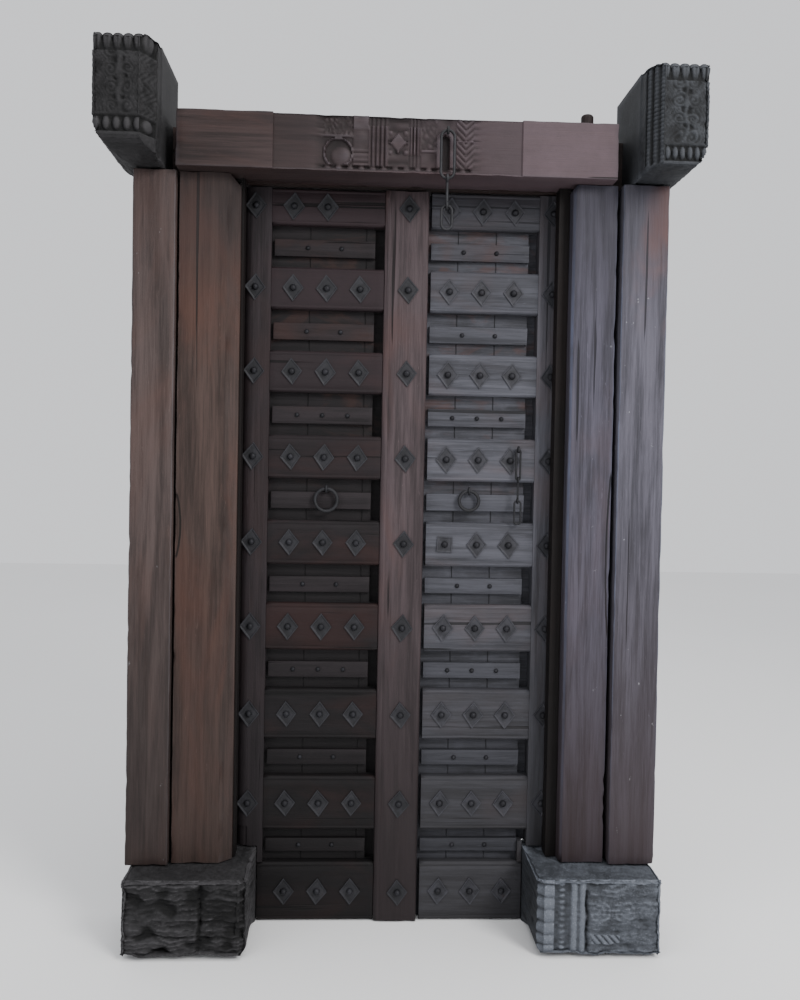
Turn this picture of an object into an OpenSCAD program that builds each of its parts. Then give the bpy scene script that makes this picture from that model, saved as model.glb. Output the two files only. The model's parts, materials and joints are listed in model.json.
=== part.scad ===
// Carved timber temple door: two studded leaves on wooden pintles in a post and lintel frame.
// Frame of the part: X to the right, Z up, the front faces -Y, origin at the bottom centre of the box.
// Inside the modules X is measured from the middle of the opening and Y from the front face of the leaves,
// and place() moves them to the origin.

/* [Base blocks] */
// Height of the carved base blocks
base_h = 200; // [160:1:260]
// How far each base block reaches into the opening, past the stop strip
base_reach = 49; // [42:1:60]
// Cant on the inner front corner of the base blocks
base_cant = 18; // [10:1:30]
// Width of the left base block
base_left_w = 310; // [300:1:400]
// Width of the right base block
base_right_w = 318; // [310:1:400]
// How far the base blocks stand in front of the leaves
base_front = 210; // [180:1:250]

/* [Posts] */
// Height of the posts, from the base blocks to the lintel
post_h = 1748; // [1450:0.1:2100]
// Half of the opening between the two stop strips
opening_half = 406; // [335:1:500]
// Width of the left inner post
inner_left_w = 151; // [125:1:185]
// Width of the right inner post
inner_right_w = 116; // [95:1:150]
// Width of the left outer post
outer_left_w = 108; // [88:1:140]
// Width of the right outer post
outer_right_w = 121; // [100:1:150]
// How far the inner posts stand in front of the leaves
inner_front = 103; // [85:1:125]
// How far the outer posts stand in front of the leaves
outer_front = 120; // [100:1:140]
// Chamfer on the doorway edge of the left inner post
chamfer_left = 30; // [10:1:35]
// Chamfer on the doorway edge of the right inner post
chamfer_right = 8; // [4:1:20]
// Thickness of the left stop strip
stop_left_t = 6; // [4:1:12]
// Thickness of the right stop strip
stop_right_t = 27; // [20:1:40]

/* [Lintel and head] */
// Height of the lintel
lintel_h = 137; // [110:1:170]
// How far the lintel stands in front of the leaves
lintel_front = 145; // [130:1:175]
// How far the raised end blocks of the lintel stand above and in front of its middle
lintel_step = 4; // [2:1:8]
// Length of the raised end block at the left of the lintel
lintel_end_left = 234; // [180:1:280]
// Length of the raised end block at the right of the lintel
lintel_end_right = 242; // [180:1:280]
// How far the lintel stops short of the outer edge of the right inner post
lintel_short = 18; // [0:1:30]
// How far the carved panel of the lintel reaches to the left of the middle
panel_left = 208; // [160:1:225]
// How far the carved panel of the lintel reaches to the right of the middle
panel_right = 172; // [130:1:190]
// Depth of the frame behind the front face of the leaves
frame_back = 60; // [58:1:75]
// Radius of the round tenons that tie the lintel to the inner posts
tenon_r = 16; // [12:1:22]
// Distance of the tenons from the doorway faces of the inner posts
tenon_in = 38; // [34:1:56]
// Height of the right tenon above the lintel
tenon_up = 50; // [20:1:80]

/* [Brackets] */
// Width of the left bracket
bracket_left_w = 147; // [125:1:165]
// Width of the right bracket
bracket_right_w = 147; // [125:1:165]
// Height of the left bracket above the lintel underside
bracket_left_h = 276; // [230:1:320]
// Height of the right bracket above the lintel underside
bracket_right_h = 257; // [220:1:310]
// How far the left bracket stands out past its post
bracket_left_out = 68; // [40:1:80]
// How far the right bracket stands out past its post
bracket_right_out = 49; // [40:1:80]
// How far the brackets stand in front of the leaves
bracket_front = 260; // [235:1:300]
// Rise of the curved underside of the left bracket
bracket_left_rise = 34; // [6:1:50]
// Rise of the curved underside of the right bracket
bracket_right_rise = 10; // [6:1:50]
// Height of the curve that leads from the post out to the side of a bracket
bracket_curve_h = 80; // [50:1:110]
// Width of the canted inner corner of the brackets
bracket_cant_w = 33; // [20:1:45]
// Depth of the canted inner corner of the brackets
bracket_cant_d = 55; // [35:1:70]

/* [Leaves] */
// Width of the outer stile of each leaf
stile_w = 75; // [68:1:90]
// Width of the meeting stile, which belongs to the left leaf
meeting_w = 115.5; // [90:0.5:136]
// Thickness of the rails
rail_t = 30; // [24:1:34]
// Thickness of the back boards
board_t = 22; // [16:1:24]
// Thickness of the outer stiles, which is also the diameter of their rounded edge
stile_t = 60; // [58:1:64]
// How far the meeting stile stands in front of the rails
meeting_proud = 8; // [4:1:12]
// Depth by which the middle battens stand out of the back boards
batten_t = 16; // [10:1:20]
// Width of the dark slot at the right-hand end of each recess
slot_w = 24; // [16:1:30]
// Gap between the two leaves
leaf_gap = 2.5; // [2:0.5:8]
// Gap above the leaves
end_gap = 4; // [3:1:14]
// Radius of the pintles that the leaves turn on
pintle_r = 16; // [13:1:18]

/* [Iron] */
// Width of a rosette plate
plate_w = 58; // [48:1:64]
// Height of a rosette plate
plate_h = 75; // [62:1:88]
// Thickness of a rosette plate
plate_t = 3; // [2:0.5:4]
// Radius of the domed studs
stud_r = 9; // [7:0.5:11]
// Radius of the small domed nails in the battens
nail_r = 6; // [4:0.5:7]
// Distance of the left ring pull from the edge of its leaf
ring_left_in = 258.5; // [235:0.5:275]
// Distance of the right ring pull from the edge of its leaf
ring_right_in = 119; // [95:1:150]
// Outer diameter of the left ring pull
ring_left_d = 68; // [60:1:80]
// Outer diameter of the right ring pull
ring_right_d = 61; // [56:1:78]
// Radius of the bar of the ring pulls
ring_bar_r = 4.5; // [3.5:0.1:5]
// Radius of the wire of the chain links
chain_bar_r = 3.5; // [2.5:0.1:4]
// Radius of the wire of the hasp links
hasp_bar_r = 2.5; // [2:0.1:3]

/* [Hidden] */
RAILS = 9;
LEFT = -1;
RIGHT = 1;

// Clearances
running = 0.08;
seat_gap = 0.6;
turn_gap = 8;
low_gap = 2;
sweep_gap = 4;
heel_inset = 4;
link_play = 1;
behind_studs = 4;
cut = 1;

// Heights
lintel_z = base_h + post_h;
lintel_top = lintel_z + lintel_h;
leaf_z = 3;
leaf_top = lintel_z - end_gap;
leaf_h = leaf_top - leaf_z;
notch_z = base_h + 57;
heel_z = base_h + 4;
pintle_down = 44;
pintle_up = 50;
tenon_down = 90;
tenon_stub = 2;

// Depths, measured from the front face of the leaves
leaf_y = (bracket_front - frame_back) / 2;
stop_back = -(plate_t + stud_r + behind_studs);
stop_d = 44;
stop_front = stop_back - stop_d;
tenon_y = (stop_back - inner_front) / 2 - 10;
axis_y = stile_t / 2;
base_back = frame_back - 4;
bracket_back = frame_back - 10;
board_back = rail_t + board_t;
slot_floor = 6;

// Widths
post_in_left = opening_half + stop_left_t;
post_in_right = opening_half + stop_right_t;
post_gap_left = 5;
post_gap_right = 8;
outer_in_left = post_in_left + inner_left_w + post_gap_left;
outer_in_right = post_in_right + inner_right_w + post_gap_right;
base_clear = opening_half - base_reach;
bracket_edge_left = outer_in_left + outer_left_w + bracket_left_out;
bracket_edge_right = outer_in_right + outer_right_w + bracket_right_out;
reach_left = max(bracket_edge_left, base_clear + base_left_w);
reach_right = max(bracket_edge_right, base_clear + base_right_w);
middle_x = (reach_left - reach_right) / 2;
stile_cover_left = 10;
stile_cover_right = 36;
stile_edge_left = opening_half + stile_cover_left;
stile_edge_right = opening_half + stile_cover_right;
axis_left = stile_edge_left - axis_y;
axis_right = stile_edge_right - axis_y;
jamb_in_left = stile_edge_left + turn_gap;
jamb_in_right = stile_edge_right + turn_gap;
meet_right = 74;
meet_left = meet_right - leaf_gap;
rail_reveal = 5;
low_edge = base_clear - low_gap;
edge_round = 5;
back_stile_w = 76;
edge_inset = 2;
meeting_bevel_w = 10;
meeting_bevel_d = 6;
meeting_ease = 4;
bracket_ease = 12;

// Rails from the bottom up: their heights, and the shares of the height left for the recesses
rail_heights = [156, 144, 134, 125, 118, 115, 110, 110, 95] * leaf_h / 1932;
recess_shares = [87, 99, 103, 102, 109, 112, 109, 110];
function total(list, n) = n <= 0 ? 0 : list[n - 1] + total(list, n - 1);
recess_room = leaf_h - total(rail_heights, RAILS);
recess_heights = recess_shares * recess_room / total(recess_shares, RAILS - 1);
function rail_z(i) = leaf_z + total(rail_heights, i) + total(recess_heights, i);
function recess_z(i) = rail_z(i) + rail_heights[i];
function row_z(i) = rail_z(i) + rail_heights[i] / 2;

// Ends of the rails along X
left_rail_in = meet_left - meeting_w;
left_rail_out = -(stile_edge_left - stile_w);
right_rail_in = meet_right + rail_reveal;
right_rail_out = stile_edge_right - stile_w;
slot_left = left_rail_in - slot_w;
slot_right = right_rail_out - slot_w;

// Places of the rosettes: three along each rail and one on each stile
function column(a, b, first, k) = a + (b - a) * (first + 0.297 * k);
left_cols = [for (k = [0 : 2]) column(left_rail_out, left_rail_in, 0.195, k)];
right_cols = [for (k = [0 : 2]) column(right_rail_in, right_rail_out, 0.176, k)];
stile_col_in_left = 4;
stile_col_in_right = 8;
meeting_col_aside = 6;
left_stile_col = -axis_left + stile_col_in_left;
right_stile_col = axis_right - stile_col_in_right;
meeting_col = meet_left - meeting_w / 2 + meeting_col_aside;
top_row = RAILS - 1;
function left_places() = concat(
    [for (i = [0 : top_row]) for (k = [0 : 2]) if (i < top_row || k < 2) [left_cols[k], 0, row_z(i)]],
    [for (i = [1 : top_row]) [left_stile_col, 0, row_z(i)]],
    [for (i = [0 : top_row]) [meeting_col, -meeting_proud, row_z(i)]]
);
function right_places() = concat(
    [for (i = [0 : top_row]) for (k = [0 : 2]) [right_cols[k], 0, row_z(i)]],
    [for (i = [1 : top_row]) [right_stile_col, 0, row_z(i)]]
);

// Battens and their nails
batten_share = 0.42;
batten_lift = 0.27;
batten_short = 6;
batten_front = rail_t - batten_t;
function batten_z(i) = recess_z(i) + recess_heights[i] * batten_lift;
function batten_h(i) = recess_heights[i] * batten_share;
function nail_z(i) = batten_z(i) + batten_h(i) / 2;

// Ring pulls, in the fifth recess from the bottom
ring_row = 4;
eye_r = 3;
ring_y = 2;
ring_share = 0.77;
ring_left_x = meet_left - ring_left_in;
ring_right_x = meet_right + ring_right_in;
ring_pivot_z = recess_z(ring_row) + recess_heights[ring_row] * ring_share;
eye_cut = 20;

// Hasp on the sixth rail of the right leaf
hasp_row = 5;
hasp_aside = 6;
hasp_lift = 30;
hasp_x = right_cols[2] + stud_r + hasp_bar_r * 2 + hasp_aside;
hasp_y = -14;
hasp_z = row_z(hasp_row) + hasp_lift;
hasp_half_w = 5.5;
hasp_len_1 = 80;
hasp_len_2 = 56;
hasp_len_3 = 62;
hasp_loop_half_w = 8.5;

// Chain on the front of the lintel
chain_x = 103;
chain_clear = 2;
chain_lift = 104;
chain_y = -(lintel_front + lintel_step + chain_bar_r + link_play + 2 * eye_r + chain_clear);
chain_z = lintel_z + chain_lift;
chain_half_w = 16.5;
chain_len_1 = 118;
chain_len_2 = 68;
chain_len_3 = 58;
chain_end_half_w = 13;

module place() {
    translate([middle_x, leaf_y, 0]) children();
}

// Shapes are drawn on the right, and this puts them on their own side
module sided(side) {
    mirror([side < 0 ? 1 : 0, 0, 0]) children();
}

// A box from one corner to the opposite one
module block(from, to) {
    translate(from) cube(to - from);
}

// An outline in depth and height, run along X
module run_x(x0, x1) {
    translate([x0, 0, 0]) rotate([90, 0, 90]) linear_extrude(x1 - x0) children();
}

// An outline in width and height, run along Y
module run_y(y0, y1) {
    translate([0, y1, 0]) rotate([90, 0, 0]) linear_extrude(y1 - y0) children();
}

// An outline in width and depth, run up Z
module run_z(z0, z1) {
    translate([0, 0, z0]) linear_extrude(z1 - z0) children();
}

module base_block(side, width, axis_x) {
    outer = base_clear + width;
    near = axis_x - low_edge - sweep_gap;
    difference() {
        run_z(0, base_h) sided(side) union() {
            polygon([[base_clear, -base_front + base_cant], [base_clear + base_cant, -base_front],
                [outer, -base_front], [outer, axis_y], [base_clear, axis_y]]);
            polygon([[axis_x, axis_y - cut], [outer, axis_y - cut], [outer, base_back], [axis_x, base_back]]);
            intersection() {
                translate([axis_x, axis_y]) circle(r = near, $fn = 96);
                polygon([[base_clear, 0], [outer, 0], [outer, base_back], [base_clear, base_back]]);
            }
        }
        translate([side * axis_x, axis_y, base_h - pintle_down])
            cylinder(r = pintle_r + running, h = pintle_down + cut, $fn = 64);
    }
}

module base_block_left() {
    color("dimgray") place() base_block(LEFT, base_left_w, axis_left);
}

module base_block_right() {
    color("slategray") place() base_block(RIGHT, base_right_w, axis_right);
}

module inner_post(side, face, width, chamfer) {
    difference() {
        run_z(base_h, lintel_z) sided(side)
            polygon([[face, -inner_front + chamfer], [face + chamfer, -inner_front],
                [face + width, -inner_front], [face + width, stop_back], [face, stop_back]]);
        translate([side * (face + tenon_in), tenon_y, lintel_z - tenon_down])
            cylinder(r = tenon_r, h = tenon_down + cut, $fn = 64);
    }
}

module inner_post_left() {
    color("rosybrown") place() inner_post(LEFT, post_in_left, inner_left_w, chamfer_left);
}

module inner_post_right() {
    color("gray") place() inner_post(RIGHT, post_in_right, inner_right_w, chamfer_right);
}

module outer_post(side, face, width) {
    run_z(base_h, lintel_z) sided(side)
        polygon([[face, -outer_front], [face + width, -outer_front], [face + width, frame_back],
            [face, frame_back]]);
}

module outer_post_left() {
    color("gray") place() outer_post(LEFT, outer_in_left, outer_left_w);
}

module outer_post_right() {
    color("gray") place() outer_post(RIGHT, outer_in_right, outer_right_w);
}

module rear_jamb(side, face, outer) {
    run_z(base_h, lintel_z) sided(side)
        polygon([[face, stop_back], [outer, stop_back], [outer, frame_back], [face, frame_back]]);
}

module rear_jamb_left() {
    color("saddlebrown") place() rear_jamb(LEFT, jamb_in_left, outer_in_left);
}

module rear_jamb_right() {
    color("saddlebrown") place() rear_jamb(RIGHT, jamb_in_right, outer_in_right);
}

module front_lintel() {
    x0 = -(post_in_left + inner_left_w);
    x1 = post_in_right + inner_right_w - lintel_short;
    raised_front = -lintel_front - lintel_step;
    raised_top = lintel_top + lintel_step;
    color("rosybrown") place() difference() {
        union() {
            block([x0, -lintel_front, lintel_z], [x1, stop_back, lintel_top]);
            block([x0, raised_front, lintel_z], [x0 + lintel_end_left, stop_back, raised_top]);
            block([x1 - lintel_end_right, raised_front, lintel_z], [x1, stop_back, raised_top]);
            block([-panel_left, raised_front, lintel_z], [panel_right, -lintel_front + cut, lintel_top]);
        }
        for (x = [-(post_in_left + tenon_in), post_in_right + tenon_in])
            translate([x, tenon_y, lintel_z - cut])
                cylinder(r = tenon_r, h = lintel_h + lintel_step + 2 * cut, $fn = 64);
    }
}

module rear_head() {
    color("saddlebrown") place() difference() {
        block([-(outer_in_left + outer_left_w), stop_back, lintel_z],
            [outer_in_right + outer_right_w, frame_back, lintel_top]);
        for (x = [-axis_left, axis_right])
            translate([x, axis_y, lintel_z - cut])
                cylinder(r = pintle_r + running, h = pintle_up + cut, $fn = 64);
    }
}

// A bracket: its section in depth, its outline from the front and its plan, cut from one block
module bracket(side, edge, width, out, height, rise) {
    top = lintel_z + height;
    inner = edge - width;
    post_edge = edge - out;
    reach = bracket_front - outer_front;
    sided(side) intersection() {
        run_x(inner, edge) polygon(concat(
            [for (a = [0 : 15 : 90]) [-outer_front - reach * sin(a), lintel_z + rise * (1 - cos(a))]],
            [[-bracket_front, top - bracket_ease], [-bracket_front + bracket_ease, top], [bracket_back, top],
                [bracket_back, lintel_top], [stop_back, lintel_top], [stop_back, lintel_z]]
        ));
        run_y(-bracket_front, bracket_back) polygon(concat(
            [for (a = [0 : 15 : 90]) [post_edge + out * sin(a), lintel_z + bracket_curve_h * (1 - cos(a))]],
            [[edge, top], [inner, top], [inner, lintel_z]]
        ));
        run_z(lintel_z, top) polygon([[edge, -bracket_front], [edge, bracket_back], [inner, bracket_back],
            [inner, -bracket_front + bracket_cant_d], [inner + bracket_cant_w, -bracket_front]]);
    }
}

module bracket_left() {
    color("darkslategray") place()
        bracket(LEFT, bracket_edge_left, bracket_left_w, bracket_left_out, bracket_left_h, bracket_left_rise);
}

module bracket_right() {
    color("slategray") place()
        bracket(RIGHT, bracket_edge_right, bracket_right_w, bracket_right_out, bracket_right_h,
            bracket_right_rise);
}

module stop_left() {
    color("black") place()
        block([-post_in_left, stop_front, base_h], [-opening_half, stop_back, lintel_z]);
}

module stop_right() {
    color("black") place()
        block([opening_half, stop_front, base_h], [post_in_right, stop_back, lintel_z]);
}

// The left tenon is a low stub, and the right one stands up as a peg with a rounded end
module lintel_tenons() {
    color("saddlebrown") place() {
        translate([-(post_in_left + tenon_in), tenon_y, lintel_z - tenon_down])
            cylinder(r = tenon_r, h = tenon_down + lintel_h + lintel_step + tenon_stub, $fn = 64);
        translate([post_in_right + tenon_in, tenon_y, lintel_z - tenon_down])
            rotate_extrude($fn = 64) union() {
                square([tenon_r, tenon_down + lintel_h + tenon_up - tenon_r / 2]);
                square([tenon_r / 2, tenon_down + lintel_h + tenon_up]);
                translate([tenon_r / 2, tenon_down + lintel_h + tenon_up - tenon_r / 2])
                    intersection() {
                        circle(r = tenon_r / 2, $fn = 48);
                        square(tenon_r);
                    }
            }
    }
}

// A rail with worn bevels along its front edges
module rail(i, x0, x1) {
    z0 = rail_z(i);
    z1 = z0 + rail_heights[i];
    run_x(x0, x1) polygon([[0, z0 + edge_round], [edge_round, z0], [rail_t, z0], [rail_t, z1],
        [edge_round, z1], [0, z1 - edge_round]]);
}

module left_rail(i) {
    color("rosybrown") place() rail(i - 1, i == 1 ? -low_edge : left_rail_out, left_rail_in);
}

module right_rail(i) {
    color("slategray") place() rail(i - 1, right_rail_in, i == 1 ? low_edge : right_rail_out);
}

// The outer stile with its rounded back edge and a pintle at each end
module outer_stile(side, axis_x, edge) {
    inner = side * (edge - stile_w);
    heel_x = side * (axis_x - heel_inset);
    pintle_z0 = base_h - pintle_down + seat_gap;
    pintle_z1 = lintel_z + pintle_up - seat_gap;
    union() {
        run_z(notch_z, leaf_top) union() {
            translate([side * axis_x, axis_y]) circle(r = axis_y, $fn = 96);
            polygon([[side * axis_x, 0], [inner, 0], [inner, stile_t], [side * axis_x, stile_t]]);
        }
        run_z(heel_z, notch_z) union() {
            translate([side * axis_x, axis_y]) circle(r = axis_y - heel_inset, $fn = 96);
            polygon([[heel_x, 0], [inner, 0], [inner, stile_t], [heel_x, stile_t]]);
        }
        // A narrow foot beside the base block, down to the bottom rail
        if (low_edge - edge + stile_w > cut)
            block([min(inner, side * low_edge), 0, recess_z(0)],
                [max(inner, side * low_edge), rail_t, heel_z + cut]);
        translate([side * axis_x, axis_y, pintle_z0])
            cylinder(r = pintle_r, h = pintle_z1 - pintle_z0, $fn = 64);
    }
}

module left_outer_stile() {
    color("dimgray") place() outer_stile(LEFT, axis_left, stile_edge_left);
}

module right_outer_stile() {
    color("slategray") place() outer_stile(RIGHT, axis_right, stile_edge_right);
}

module meeting_stile() {
    color("rosybrown") place() run_z(leaf_z, leaf_top)
        polygon([[left_rail_in, -meeting_proud + meeting_bevel_d],
            [left_rail_in + meeting_bevel_w, -meeting_proud], [meet_left - meeting_ease, -meeting_proud],
            [meet_left, -meeting_proud + meeting_ease], [meet_left, rail_t], [left_rail_in, rail_t]]);
}

module left_back_stile() {
    color("saddlebrown") place()
        block([meet_left - edge_inset - back_stile_w, board_back, leaf_z],
            [meet_left - edge_inset, stile_t, leaf_top]);
}

module right_back_stile() {
    color("saddlebrown") place()
        block([meet_right + edge_inset, board_back, leaf_z],
            [meet_right + edge_inset + back_stile_w, stile_t, leaf_top]);
}

// Back boards with a deep slot at the right-hand end of each recess
module boards(x_out, x_in, slot_x, low_x) {
    difference() {
        union() {
            block([min(x_out, x_in), rail_t, heel_z], [max(x_out, x_in), board_back, leaf_top]);
            block([min(low_x, x_in), rail_t, leaf_z], [max(low_x, x_in), board_back, heel_z]);
        }
        for (i = [0 : RAILS - 2])
            block([slot_x, rail_t - cut, recess_z(i)],
                [slot_x + slot_w, board_back - slot_floor, recess_z(i) + recess_heights[i]]);
    }
}

module left_boards() {
    color("dimgray") place() boards(left_rail_out, meet_left - edge_inset, slot_left, -low_edge);
}

module right_boards() {
    color("slategray") place() boards(right_rail_out, meet_right, slot_right, low_edge);
}

module battens(x0, x1) {
    for (i = [0 : RAILS - 2])
        block([x0, batten_front, batten_z(i)], [x1, rail_t, batten_z(i) + batten_h(i)]);
}

module left_battens() {
    color("sienna") place() battens(left_rail_out + batten_short, slot_left);
}

module right_battens() {
    color("slategray") place() battens(right_rail_in, slot_right);
}

module plate() {
    rotate([90, 0, 0]) linear_extrude(plate_t)
        polygon([[plate_w / 2, 0], [0, plate_h / 2], [-plate_w / 2, 0], [0, -plate_h / 2]]);
}

module dome(r) {
    intersection() {
        sphere(r = r, $fn = 48);
        block([-r, -r, -r], [r, 0, r]);
    }
}

module left_rosettes() {
    color("darkslategray") place() for (p = left_places()) translate(p) plate();
}

module right_rosettes() {
    color("darkslategray") place() for (p = right_places()) translate(p) plate();
}

module left_studs() {
    color("black") place() for (p = left_places()) translate(p - [0, plate_t, 0]) dome(stud_r);
}

module right_studs() {
    color("black") place() for (p = right_places()) translate(p - [0, plate_t, 0]) dome(stud_r);
}

// Two nails in each batten, three in every third one, and none beside a ring pull
module batten_nails(x0, x1) {
    for (i = [0 : RAILS - 2]) {
        count = i == ring_row ? 0 : i % 3 == 2 ? 3 : 2;
        if (count > 0)
            for (k = [1 : count])
                translate([x0 + (x1 - x0) * k / (count + 1), batten_front, nail_z(i)]) dome(nail_r);
    }
}

module left_batten_nails() {
    color("black") place() batten_nails(left_rail_out + batten_short, slot_left);
}

module right_batten_nails() {
    color("black") place() batten_nails(right_rail_in, slot_right);
}

// An eye that stands upright across X, with its shank running back to a face at depth y_face
module eye(bar_r, y_face) {
    major = bar_r + link_play + eye_r;
    rotate([0, 90, 0]) rotate_extrude($fn = 64) translate([major, 0]) circle(r = eye_r, $fn = 32);
    difference() {
        rotate([-90, 0, 0]) cylinder(r = eye_r, h = y_face, $fn = 32);
        rotate([0, 90, 0]) cylinder(r = major, h = eye_cut, center = true, $fn = 64);
    }
}

module left_ring_staple() {
    color("black") place() translate([ring_left_x, ring_y, ring_pivot_z]) eye(ring_bar_r, rail_t - ring_y);
}

module right_ring_staple() {
    color("black") place() translate([ring_right_x, ring_y, ring_pivot_z]) eye(ring_bar_r, rail_t - ring_y);
}

module ring_pull(x, d) {
    major = d / 2 - ring_bar_r;
    translate([x, ring_y, ring_pivot_z - major])
        rotate([90, 0, 0]) rotate_extrude($fn = 96) translate([major, 0]) circle(r = ring_bar_r, $fn = 32);
}

module left_ring() {
    color("black") place() ring_pull(ring_left_x, ring_left_d);
}

module right_ring() {
    color("black") place() ring_pull(ring_right_x, ring_right_d);
}

// A closed loop that hangs from its pivot: two straight sides joined by half rings
module loop_link(half_w, len, r) {
    drop = len - 2 * half_w;
    for (x = [-half_w, half_w])
        translate([x, 0, -half_w - drop]) cylinder(r = r, h = drop, $fn = 32);
    translate([0, 0, -half_w]) rotate([90, 0, 0]) half_ring(half_w, r, 0);
    translate([0, 0, -half_w - drop]) rotate([90, 0, 0]) half_ring(half_w, r, 180);
}

module half_ring(major, r, turn) {
    rotate([0, 0, turn]) rotate_extrude(angle = 180, $fn = 96) translate([major, 0]) circle(r = r, $fn = 32);
}

// A straight link with an eye at each end, both across X
module eye_link(len, r) {
    major = r + link_play + r;
    for (z = [0, -len])
        translate([0, 0, z]) rotate([0, 90, 0])
            rotate_extrude($fn = 64) translate([major, 0]) circle(r = r, $fn = 32);
    difference() {
        translate([0, 0, -len]) cylinder(r = r, h = len, $fn = 32);
        for (z = [0, -len])
            translate([0, 0, z]) rotate([0, 90, 0]) cylinder(r = major, h = eye_cut, center = true, $fn = 64);
    }
}

module chain_staple() {
    color("black") place() translate([chain_x, chain_y, chain_z])
        eye(chain_bar_r, -lintel_front - lintel_step - chain_y);
}

module chain_link_1() {
    color("black") place() translate([chain_x, chain_y, chain_z])
        loop_link(chain_half_w, chain_len_1, chain_bar_r);
}

module chain_link_2() {
    color("black") place() translate([chain_x, chain_y, chain_z - chain_len_1])
        eye_link(chain_len_2, chain_bar_r);
}

module chain_link_3() {
    color("black") place() translate([chain_x, chain_y, chain_z - chain_len_1 - chain_len_2])
        loop_link(chain_end_half_w, chain_len_3, chain_bar_r);
}

module hasp_staple() {
    color("black") place() translate([hasp_x, hasp_y, hasp_z]) eye(hasp_bar_r, -hasp_y);
}

module hasp_link_1() {
    color("black") place() translate([hasp_x, hasp_y, hasp_z])
        loop_link(hasp_half_w, hasp_len_1, hasp_bar_r);
}

module hasp_link_2() {
    color("black") place() translate([hasp_x, hasp_y, hasp_z - hasp_len_1])
        eye_link(hasp_len_2, hasp_bar_r);
}

module hasp_link_3() {
    color("black") place() translate([hasp_x, hasp_y, hasp_z - hasp_len_1 - hasp_len_2])
        loop_link(hasp_loop_half_w, hasp_len_3, hasp_bar_r);
}

base_block_left();
base_block_right();
inner_post_left();
inner_post_right();
outer_post_left();
outer_post_right();
rear_jamb_left();
rear_jamb_right();
front_lintel();
rear_head();
bracket_left();
bracket_right();
stop_left();
stop_right();
lintel_tenons();
chain_staple();
for (i = [1 : RAILS]) left_rail(i);
for (i = [1 : RAILS]) right_rail(i);
left_outer_stile();
meeting_stile();
left_back_stile();
left_boards();
left_battens();
left_rosettes();
left_studs();
left_batten_nails();
left_ring_staple();
left_ring();
right_outer_stile();
right_back_stile();
right_boards();
right_battens();
right_rosettes();
right_studs();
right_batten_nails();
right_ring_staple();
right_ring();
hasp_staple();
hasp_link_1();
hasp_link_2();
hasp_link_3();
chain_link_1();
chain_link_2();
chain_link_3();
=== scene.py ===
"""Looks of the carved temple door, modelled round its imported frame."""

import json
import math
import random

import bmesh
import bpy
from mathutils import Matrix, Vector, noise


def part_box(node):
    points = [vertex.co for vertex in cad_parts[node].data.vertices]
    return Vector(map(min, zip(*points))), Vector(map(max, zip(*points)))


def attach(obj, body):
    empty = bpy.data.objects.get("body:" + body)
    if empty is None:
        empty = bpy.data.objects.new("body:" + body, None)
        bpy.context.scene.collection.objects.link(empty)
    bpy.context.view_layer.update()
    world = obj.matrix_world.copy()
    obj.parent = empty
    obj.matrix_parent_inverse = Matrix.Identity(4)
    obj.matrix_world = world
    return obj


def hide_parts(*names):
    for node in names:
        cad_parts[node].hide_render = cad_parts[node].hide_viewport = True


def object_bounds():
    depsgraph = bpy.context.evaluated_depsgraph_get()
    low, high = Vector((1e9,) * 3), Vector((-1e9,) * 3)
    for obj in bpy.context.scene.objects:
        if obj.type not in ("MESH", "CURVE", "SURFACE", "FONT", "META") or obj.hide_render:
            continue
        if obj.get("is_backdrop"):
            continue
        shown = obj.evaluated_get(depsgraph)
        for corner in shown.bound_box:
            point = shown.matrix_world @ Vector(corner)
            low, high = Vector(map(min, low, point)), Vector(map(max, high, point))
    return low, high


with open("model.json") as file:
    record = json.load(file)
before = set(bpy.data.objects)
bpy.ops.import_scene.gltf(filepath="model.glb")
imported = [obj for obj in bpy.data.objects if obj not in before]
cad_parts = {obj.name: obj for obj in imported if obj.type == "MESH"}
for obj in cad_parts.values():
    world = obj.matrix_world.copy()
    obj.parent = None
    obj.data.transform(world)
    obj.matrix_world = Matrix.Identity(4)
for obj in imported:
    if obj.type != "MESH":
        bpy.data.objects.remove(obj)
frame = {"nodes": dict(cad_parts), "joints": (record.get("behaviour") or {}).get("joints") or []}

bl_info = {
    "name": "Carved temple door",
    "version": (1, 0, 0),
    "blender": (4, 5, 0),
    "location": "3D View > Sidebar > Door",
    "description": "Weathered timber, carving and forged iron for a studded double door",
    "category": "Object",
}

MM = 0.001
RAILS = 9
SIDES = ("left", "right")
X, Y, Z = 0, 1, 2


# ---------------------------------------------------------------- shader sums


class Value:
    """A shader socket that takes part in sums written in Python."""

    def __init__(self, tree, socket):
        self.tree = tree
        self.socket = socket

    def maths(self, operation, *terms):
        return self.tree.node("ShaderNodeMath", {"operation": operation}, dict(enumerate(terms)))

    def __add__(self, other):
        return self.maths("ADD", self, other)

    def __radd__(self, other):
        return self.maths("ADD", other, self)

    def __sub__(self, other):
        return self.maths("SUBTRACT", self, other)

    def __rsub__(self, other):
        return self.maths("SUBTRACT", other, self)

    def __mul__(self, other):
        return self.maths("MULTIPLY", self, other)

    def __rmul__(self, other):
        return self.maths("MULTIPLY", other, self)

    def step(self, low, high):
        """0 below low, 1 above high, and a smooth rise between them."""
        settings = {"interpolation_type": "SMOOTHSTEP", "clamp": True}
        return self.tree.node("ShaderNodeMapRange", settings, {0: self, 1: low, 2: high, 3: 0.0, 4: 1.0})

    def least(self, other):
        return self.maths("MINIMUM", self, other)

    def most(self, other):
        return self.maths("MAXIMUM", self, other)

    def size(self):
        return self.maths("ABSOLUTE", self)


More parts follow.
